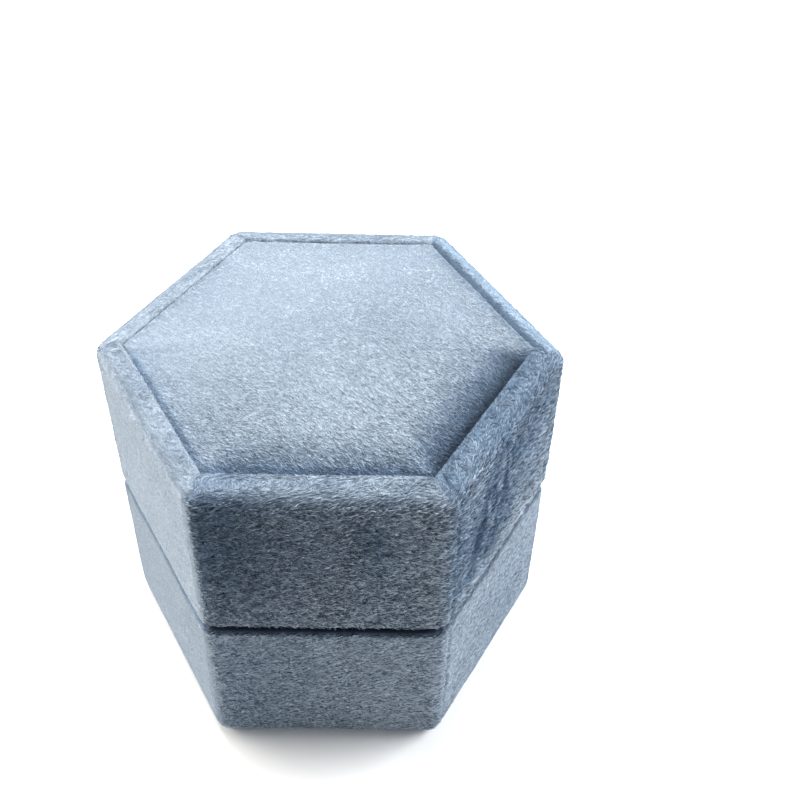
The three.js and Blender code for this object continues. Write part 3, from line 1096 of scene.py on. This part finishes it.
def sharp_hexagon(apothem):
    radius = apothem / math.cos(HALF_TURN)
    turns = [2 * HALF_TURN * i for i in range(SIDES)]
    return [(radius * math.cos(turn), radius * math.sin(turn)) for turn in turns]


CUSHION_NAP = math.radians(-42)
CUSHION_TUFTS = flat_tufts(CUSHION_NAP, 0.75 * MM, 0.20 * MM, contrast=1.0)


def cushion_nap(places, outward):
    """Brushed towards the front right."""
    angle = CUSHION_NAP + 0.3 * field(places, 7 * MM, SEED + 31)
    return np.column_stack([np.cos(angle), np.sin(angle), np.zeros(len(places))])


def make_cushion():
    """The padded hexagon sunk into the lid."""
    widest = cushion_high.y + 0.25 * MM
    low, crown = cushion_low.z, cushion_high.z - PILE_DEPTH
    edge = lid_high.z - 0.45 * MM

    def keep_inside(places):
        places = within_hexagon(places, widest)
        places[:, 2] = np.clip(places[:, 2], low, None)
        return places

    loops = [
        (sharp_hexagon(widest), low),
        (sharp_hexagon(widest), edge),
        (sharp_hexagon(widest - 0.3 * MM), edge + 0.4 * MM),
        (sharp_hexagon(widest - 4.0 * MM), edge + 0.8 * MM),
    ]
    piece = stacked_mesh("cushion_cloth", loops)
    puff_up(piece, 0.6 * MM, edge - 0.3 * MM, 1.6 * MM, crown, keep_inside)
    places, outward = surface_of(piece)
    shown = (outward[:, 2] > -0.3).astype(float) * (places[:, 2] > low + 0.8 * MM)
    near_wall = np.exp(-((edge_distance(places, widest) / (1.3 * MM)) ** 2))
    places[:, 2] += 0.5 * MM * near_wall * ramp(outward[:, 2], 0.1, 0.6)
    places[:, :2] *= 1 + 0.45 * MM / OUTSIDE * near_wall[:, None]
    places = within_hexagon(places, widest)
    sinking = near_edges(places, SUNK_SIDES, [3.0] * SIDES) * ramp(places[:, 2], low + 1 * MM, edge)
    places[:, 2] -= 1.5 * MM * sinking
    roughen(piece, places, outward, shown, 1.0, recess_move(places))
    shade, rough, cool = cushion_brushing_and_shade(places)
    lay_pile(piece, shown, shade, rough=rough, cool=cool)
    dress(piece, "lid", "lid_top_velvet", velvet)
    add_filling(piece, "cushion_foam", "lid", "lid_top_foam")
    grow_pile(piece, velvet_pile, cushion_nap, CUSHION_TUFTS, density=44, length=0.45 * MM)


# ---------------------------------------------------------------- inside


def lining_nap(places, outward):
    """Brushed upwards, a little to one side."""
    around = np.column_stack([-outward[:, 1], outward[:, 0], np.zeros(len(outward))])
    turned = 0.3 + 0.4 * field(places, 5 * MM, SEED + 32)
    return around * turned[:, None] + np.array([0.0, 0.0, 1.0])


def make_collar():
    """The neck: velvet folded over the top of a card band."""
    inner = COLLAR_OUTSIDE - COLLAR_WALL + PILE_DEPTH / 2
    outer = COLLAR_OUTSIDE - PILE_DEPTH / 2
    low, high = collar_low.z, collar_high.z - PILE_DEPTH / 2
    radius = COLLAR_RADIUS
    shown = line((inner, low), (inner, high - radius), 0.5 * MM)
    shown += arc((inner + radius, high - radius), radius, 180, 90, 7)
    shown += line((inner + radius, high), (outer - radius, high), 0.4 * MM)
    shown += arc((outer - radius, high - radius), radius, 90, 0, 7)
    shown += line((outer, high - radius), (outer, low), 0.5 * MM)
    against_inner = COLLAR_OUTSIDE - COLLAR_WALL + CLOTH - GLUE
    against_outer = COLLAR_OUTSIDE - CLOTH + GLUE
    against_top = collar_high.z - CLOTH + GLUE
    hidden = hidden_line(
        (outer, low),
        (against_outer, low),
        (against_outer, against_top),
        (against_inner, against_top),
        (against_inner, low),
    )
    piece = band_mesh("collar_cloth", shown + hidden, straight=56, arc_points=7)
    places, outward = surface_of(piece)
    is_shown = shown_part(piece, len(shown))
    roughen(piece, places, outward, is_shown, 0.5)
    shade = 0.95 + 0.1 * field(places, 5 * MM, SEED + 40)
    cover = is_shown * (places[:, 2] > base_high.z - 8 * MM)
    lay_pile(piece, cover, shade, rough=0.4)
    dress(piece, "base", "collar_velvet", lining)
    grow_pile(piece, lining_pile, lining_nap, woven_tufts, density=22, length=0.45 * MM, lean=70)


def make_ceiling():
    """The lining under the lid's deck: a flat hexagon with soft edges."""
    apothem = ceiling_high.y
    loops = [(sharp_hexagon(apothem), ceiling_low.z), (sharp_hexagon(apothem), ceiling_high.z)]
    piece = stacked_mesh("ceiling_cloth", loops)
    bevel = piece.modifiers.new("bevel", "BEVEL")
    bevel.width = 0.25 * MM
    bevel.segments = 3
    remesh = piece.modifiers.new("remesh", "REMESH")
    remesh.mode = "VOXEL"
    remesh.voxel_size = 0.35 * MM
    apply_modifiers(piece)
    piece.data.shade_smooth()
    places, outward = surface_of(piece)
    shown = (outward[:, 2] < -0.5).astype(float)
    roughen(piece, places, outward, shown, 0.5)
    lay_pile(piece, shown, 0.95 + 0.1 * field(places, 6 * MM, SEED + 41), rough=0.4)
    dress(piece, "lid", "lid_ceiling_velvet", lining)
    grow_pile(piece, lining_pile, cushion_nap, CUSHION_TUFTS, density=20, length=0.5 * MM)


def clip_outline(points, limit, keep_above):
    """The part of a convex outline with y above the limit, or below it."""
    kept = []
    for (x0, y0), (x1, y1) in zip(points, points[1:] + points[:1]):
        inside_first = y0 >= limit if keep_above else y0 <= limit
        inside_next = y1 >= limit if keep_above else y1 <= limit
        if inside_first:
            kept.append((x0, y0))
        if inside_first != inside_next:
            t = (limit - y0) / (y1 - y0)
            kept.append((x0 + (x1 - x0) * t, limit))
    return kept


def shrink_outline(outline, margin):
    """The outline drawn in by about this margin on every side."""
    xs, ys = zip(*outline)
    middle = ((min(xs) + max(xs)) / 2, (min(ys) + max(ys)) / 2)
    keep_x = 1 - 2 * margin / (max(xs) - min(xs))
    keep_y = 1 - 2 * margin / (max(ys) - min(ys))
    return [
        (middle[0] + (x - middle[0]) * keep_x, middle[1] + (y - middle[1]) * keep_y)
        for x, y in outline
    ]


ROLL_TUFTS = flat_tufts(0, 0.9 * MM, 0.25 * MM)


def roll_nap(places, outward):
    """Brushed along the slots."""
    turned = 0.4 * field(places, 4 * MM, SEED + 33)
    return np.column_stack([np.ones(len(places)), turned, np.zeros(len(places))])


def make_roll(name):
    """One velvet-covered foam roll of the ring pad."""
    node = f"ring_velvet_{name}"
    low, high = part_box(node)
    outline = clip_outline(clip_outline(sharp_hexagon(pad_high.y), low.y, True), high.y, False)

    def keep_inside(places):
        places = within_hexagon(places, pad_high.y)
        places[:, 1] = np.clip(places[:, 1], low.y, high.y)
        places[:, 2] = np.clip(places[:, 2], low.z, None)
        return places

    loops = [
        (shrink_outline(outline, 0.3 * MM), low.z),
        (shrink_outline(outline, 0.3 * MM), high.z - 4.0 * MM),
        (shrink_outline(outline, 1.1 * MM), high.z - 2.0 * MM),
        (shrink_outline(outline, 2.8 * MM), high.z - 1.0 * MM),
    ]
    piece = stacked_mesh(f"ring_roll_{name}", loops)
    puff_up(piece, 0.6 * MM, low.z + 3 * MM, 1.5 * MM, high.z - PILE_DEPTH / 2, keep_inside)
    places, outward = surface_of(piece)
    shown = (places[:, 2] > high.z - 9 * MM).astype(float)
    roughen(piece, places, outward, shown, 0.6)
    lay_pile(piece, shown, 1.0 + 0.1 * field(places, 5 * MM, SEED + 42), rough=0.5)
    dress(piece, "base", node, lining)
    add_filling(piece, f"ring_roll_foam_{name}", "base", f"ring_foam_{name}")
    grow_pile(piece, lining_pile, roll_nap, ROLL_TUFTS, density=24, length=0.55 * MM)


# ---------------------------------------------------------------- carried-over CAD nodes


def dress_cad_nodes():
    finishes = {
        "greyboard": greyboard,
        "card": card,
        "base_paper": base_paper,
        "foam": foam,
    }
    slots = {row["node"]: row["material_slot"] for row in frame["record"]["subparts"]}
    for node, piece in frame["nodes"].items():
        finish = finishes.get(slots[node])
        if finish:
            cover_with(piece, finish)


# ---------------------------------------------------------------- camera, light and floor


# The photograph's viewing angle in degrees, and the camera's place, counted in lengths from the
# middle of the box to a corner.
AZIMUTH, ELEVATION, ROLL = -0.876, 43.397, 1.551
ASIDE, ABOVE, AWAY = -0.3284, 0.9528, 5.8665
LENS = 50.9


def make_camera():
    """Close above the front, a little left of centre, with a slight roll."""
    azimuth, elevation, roll = math.radians(AZIMUTH), math.radians(ELEVATION), math.radians(ROLL)
    to_corner = OUTSIDE / math.cos(HALF_TURN)
    aside, above, away = ASIDE * to_corner, ABOVE * to_corner, AWAY * to_corner
    forward = Vector(
        (
            -math.sin(azimuth) * math.cos(elevation),
            math.cos(azimuth) * math.cos(elevation),
            -math.sin(elevation),
        )
    )
    level = Vector((math.cos(azimuth), math.sin(azimuth), 0))
    upward = level.cross(forward)
    right = math.cos(roll) * level + math.sin(roll) * upward
    up = math.cos(roll) * upward - math.sin(roll) * level
    data = bpy.data.cameras.new("camera")
    data.sensor_width = 36
    data.lens = LENS
    data.clip_start = 0.01
    camera = new_object("camera", data)
    turn = Matrix((right, up, -forward)).transposed().to_4x4()
    place = -aside * right + above * up - away * forward
    camera.matrix_world = Matrix.Translation(place) @ turn
    bpy.context.scene.camera = camera


def add_light(name, azimuth, elevation, distance, size, power, colour=(1, 1, 1)):
    """A square softbox that faces the box. Azimuth 0 is the front, and 90 the right."""
    a, e = math.radians(azimuth), math.radians(elevation)
    out = Vector((math.sin(a) * math.cos(e), -math.cos(a) * math.cos(e), math.sin(e)))
    data = bpy.data.lights.new(name, "AREA")
    data.size = size
    data.energy = power
    data.color = colour
    lamp = new_object(name, data)
    target = Vector((0, 0, cad_high.z * 0.6))
    lamp.location = target + out * distance
    lamp.rotation_euler = out.to_track_quat("Z", "Y").to_euler()


def make_studio():
    """A pale world, three softboxes and a pale floor."""
    world = bpy.data.worlds.new("studio")
    bpy.context.scene.world = world
    world.use_nodes = True
    background = world.node_tree.nodes["Background"]
    background.inputs["Color"].default_value = (0.93, 0.96, 1.0, 1)
    background.inputs["Strength"].default_value = 0.42
    add_light("overhead", 200, 66, 0.55, 0.35, 5.4, (1.0, 0.98, 0.94))
    add_light("left_side", -105, 22, 0.5, 0.3, 3.0, (1.0, 0.935, 0.84))
    add_light("right_side", 105, 25, 0.5, 0.3, 4.4)
    bpy.context.scene.view_settings.view_transform = "Standard"
    mesh = bpy.data.meshes.new("floor")
    half = 1.5
    corners = [(-half, -half, 0), (half, -half, 0), (half, half, 0), (-half, half, 0)]
    mesh.from_pydata(corners, [], [(0, 1, 2, 3)])
    mesh.materials.append(floor_material())
    ground = new_object("floor", mesh)


make_camera()
make_studio()
make_lid_wall()
make_base_wall()
make_cushion()
make_collar()
make_ceiling()
for roll_name in ("front", "middle", "back"):
    make_roll(roll_name)
dress_cad_nodes()
